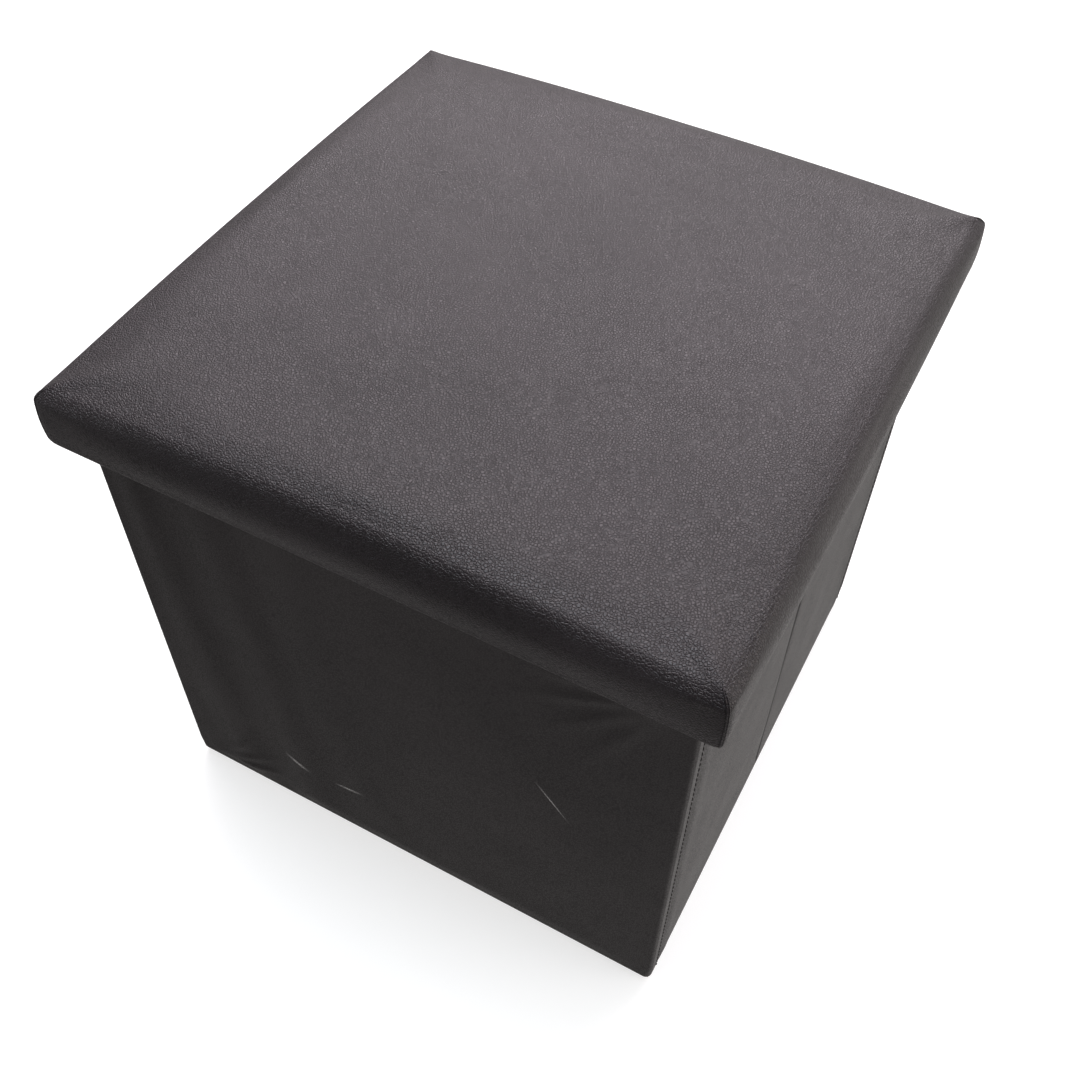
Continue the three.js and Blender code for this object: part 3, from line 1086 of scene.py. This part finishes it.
def lining_points(half_run, start, seed, turn):
    """A sheet on the plane y = -face, from x = start to start + 2 half_run, seen from inside. Its
    swells, which only stand inwards, fade to nothing at its edges."""
    x = np.linspace(start + 2 * half_run, start, 60)[None]
    z = np.linspace(WALL_FOOT + 0.2 * MM, LINING_TOP, 90)[:, None]
    edge = np.minimum(np.abs(x - start), np.abs(start + 2 * half_run - x))
    fade = rise(edge, 0, 20 * MM) * rise(z, WALL_FOOT, WALL_FOOT + 20 * MM)
    fade = fade * (1 - rise(z, LINING_TOP - 30 * MM, LINING_TOP))
    y = -LINING_FACE + fade * np.abs(swells(x, z, seed, 110 * MM, 0.9 * MM))
    return turned(np.stack([x + 0 * y, y, z + 0 * y], axis=-1), turn)


def add_linings():
    """One sheet on each end wall and one on each half wall."""
    high = LINING_TOP - WALL_FOOT
    wide = 2 * (SIDE_END - 1 * MM)
    for number, (wall, body, _, turn) in enumerate(ENDS):
        points = lining_points(wide / 2, -wide / 2, 60 + number, turn)
        piece = skin(f"{wall}_wall_lining", points, lining_finish, CLOTH)
        declare_skin(piece, body, f"{wall}_lining", (wide, high))
    half_wide = SIDE_END - 0.3 * MM
    for number, (name, (end, turn, _)) in enumerate(HALVES.items()):
        start = 0.3 * MM if end > 0 else -SIDE_END
        points = lining_points(half_wide / 2, start, 70 + number, turn + QUARTER)
        piece = skin(f"{name}_wall_lining", points, lining_finish, CLOTH)
        declare_skin(piece, name, f"{name}_lining", (half_wide, high))


add_linings()


# %% Square sheets
def ring_sheet(name, half, height, seed=0, ripple=0.0, flip=False):
    """Square rings at half[k], height[k], with swells on the flat part, which has no slope."""
    count = len(half) - 1
    ring, x, y = square_plan(count, half)
    z = height[ring]
    flat = np.abs(height - height[0]) < 1e-7
    last_flat = half[flat].max()
    fade = flat[ring] * (1 - rise(np.maximum(np.abs(x), np.abs(y)), last_flat - 30 * MM, last_flat))
    z = z + fade * ripple * (1 + swells(x, y, seed, 100 * MM, 1.0))
    points = np.stack([x, y, z], axis=-1)
    if flip:
        points = points[::-1]
    return skin(name, points, lining_finish, CLOTH)


# %% The lid's lining
RECESS_ROUND = 3 * MM


def add_lid_lining():
    """Flat under the board, a small bend, and down the inside of the rim over the hem's flap."""
    inner = RIM_INSIDE - FLAP_GAP - 0.1 * MM
    foot = LID_FOOT + HEM_DEPTH - 2 * MM
    top = LID_LINING_FOOT - 0.5 * MM
    bend = np.linspace(0, QUARTER, 5)[1:]
    half = np.concatenate([np.linspace(0, inner - RECESS_ROUND, 40),
                           inner - RECESS_ROUND * (1 - np.sin(bend)), np.full(5, inner)])
    height = np.concatenate([np.full(40, top), top - RECESS_ROUND * (1 - np.cos(bend)),
                             np.linspace(top - RECESS_ROUND, foot, 6)[1:]])
    piece = ring_sheet("lid_lining_cloth", half, height, seed=81, ripple=-0.1 * MM, flip=True)
    cut = 2 * (inner + top - foot)
    declare_skin(piece, "lid", "lid_lining", (cut, cut))


add_lid_lining()


# %% The base's fabric and lining
TURNED_OVER = 12 * MM
EDGE_MARGIN = 1 * MM


def add_base_fabric():
    """Under the base, round its edge and a little way over its top."""
    low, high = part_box("base_fabric")[0].z, BASE_TOP - 0.2 * MM
    rows = np.linspace(0, math.pi, 9)
    middle, reach = (low + high) / 2, (high - low) / 2
    edge = BASE_HALF + 0.6 * MM
    half = np.concatenate([np.linspace(0, edge - reach, 30)[:-1],
                           edge - reach + reach * np.sin(rows) ** 0.3, [BASE_HALF - TURNED_OVER]])
    height = np.concatenate([np.full(29, low), middle - reach * np.cos(rows), [high]])
    piece = ring_sheet("base_fabric_cloth", half, height, flip=True)
    cut = 2 * (BASE_HALF + high - low + TURNED_OVER)
    declare_skin(piece, "back_and_base", "base_fabric", (cut, cut))


def add_base_lining():
    """A nearly flat sheet over the base; its last ring runs on under the walls' linings."""
    half = np.concatenate([np.linspace(0, LINING_FACE - EDGE_MARGIN, 40), [BASE_HALF - EDGE_MARGIN]])
    height = np.full(41, BASE_TOP - 0.15 * MM)
    piece = ring_sheet("base_lining_cloth", half, height, seed=91, ripple=0.07 * MM)
    cut = 2 * (BASE_HALF - EDGE_MARGIN)
    declare_skin(piece, "back_and_base", "base_lining", (cut, cut))


add_base_fabric()
add_base_lining()

# %% [markdown]
# ## The boards
#
# The boards keep the frame's own meshes: flat pieces with square edges are right as they are, and a
# board that was made again might no longer fit. They only need their finish. Every node that a soft
# piece has replaced is hidden, so the ones still shown are the boards and the lid's rims.


# %% Finish the boards
def finish_boards():
    shown = [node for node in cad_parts.values() if not node.hide_render]
    for node in shown:
        for slot in node.material_slots:
            slot.material = board_finish
    return len(shown)


print("boards and rims:", finish_boards())

# %% [markdown]
# ## Floor and light
#
# A plain pale floor that turns up into a far wall, and soft light as in a small studio. A wide panel
# above and behind draws the sheen across the seat, and a cool strip overhead adds to it. A panel at the
# right lights the side wall, and a weak one at the left keeps the front from going black. The floor is
# hidden from mirror rays, so the leather's sheen comes from the panels and the room's glow alone.


# %% Floor
FLOOR_RADIUS, WALL_RADIUS, STAGE_HEIGHT = 3.5, 1.5, 5.0
FLOOR_GLOW = 0.62


def add_floor():
    """Turned profile: flat floor from a pinhole outwards, a quarter circle, and an upright wall."""
    turn = np.linspace(0, QUARTER, 9)
    out = np.concatenate([[1e-4, 1, 2], FLOOR_RADIUS + WALL_RADIUS * np.sin(turn),
                          [FLOOR_RADIUS + WALL_RADIUS]])
    up = np.concatenate([[0, 0, 0], WALL_RADIUS * (1 - np.cos(turn)), [STAGE_HEIGHT]]) - 0.4 * MM
    angle = np.linspace(0, 2 * math.pi, 65)[:-1]
    points = np.stack([out[:, None] * np.cos(-angle), out[:, None] * np.sin(-angle),
                       up[:, None] + 0 * angle], axis=-1)
    recipe = Recipe("pale_floor", **{"Specular IOR Level": 0.1, "Emission Strength": FLOOR_GLOW})
    recipe.plug(tone(1, 1, 1), recipe.shader.inputs["Emission Color"])
    clouds = recipe.noise(1.5)
    colour = recipe.colour(clouds, tone(0.44, 0.44, 0.44), tone(0.48, 0.48, 0.48))
    surface = recipe.finish(colour, 0.8 + 0.1 * clouds, clouds, 0.05 * MM)
    floor = new_piece("floor", points, grid_faces(*points.shape[:2], closed=True), surface)
    floor.visible_glossy = False


add_floor()
print("the floor is pale out to", FLOOR_RADIUS, "m")


# %% Light
GLOW_DIRECTION = (0.35, 0.75, -0.56)
ROOM, LOW_GLOW, GLOW = 0.03, 0.36, 0.42


def panel(name, place, aim, size, watts, colour):
    """A rectangular area light, size = (width, depth), that faces a point."""
    light = bpy.data.lights.new(name, "AREA")
    light.shape = "RECTANGLE"
    light.size, light.size_y = size
    light.energy = watts
    light.color = colour
    lamp = bpy.data.objects.new(name, light)
    lamp.location = place
    lamp.rotation_mode = "QUATERNION"
    lamp.rotation_quaternion = (Vector(aim) - Vector(place)).to_track_quat("-Z", "Y")
    scene.collection.objects.link(lamp)


def add_room():
    """A dim room whose glow, low behind on the right, is what the leather mirrors beside the panels."""
    world = bpy.data.worlds.new("room")
    world.use_nodes = True
    nodes = Nodes(world.node_tree, "Generated")
    facing = {"operation": "DOT_PRODUCT"}
    toward = nodes.number("ShaderNodeVectorMath", facing, {0: nodes.place, 1: GLOW_DIRECTION}, output=1)
    strength = ROOM + LOW_GLOW * toward.ramp(-0.6, 0.4) + GLOW * toward.ramp(0.3, 1.0)
    back = nodes.node("ShaderNodeBackground", {}, {"Color": tone(1.0, 0.97, 0.95), "Strength": strength})
    nodes.node("ShaderNodeOutputWorld", {}, {"Surface": back.outputs[0]})
    scene.world = world


add_room()
panel("panel_above", (-0.4, 1.2, 1.7), (0, 0, 0.3), (2.6, 2.0), 78, (1.0, 0.915, 0.96))
panel("strip_overhead", (0, -0.1, 1.9), (0, -0.1, 0.3), (1.8, 0.35), 18, (0.86, 0.93, 1.0))
panel("panel_right", (1.5, 0.2, 0.6), (0.1, 0, 0.15), (1.0, 1.0), 8, (1.0, 0.90, 0.82))
panel("panel_left", (-1.4, -0.9, 0.5), (0, 0, 0.15), (1.2, 1.2), 3, (1.0, 1.0, 1.0))
scene.view_settings.view_transform = "Standard"

# %% [markdown] ## The finished ottoman
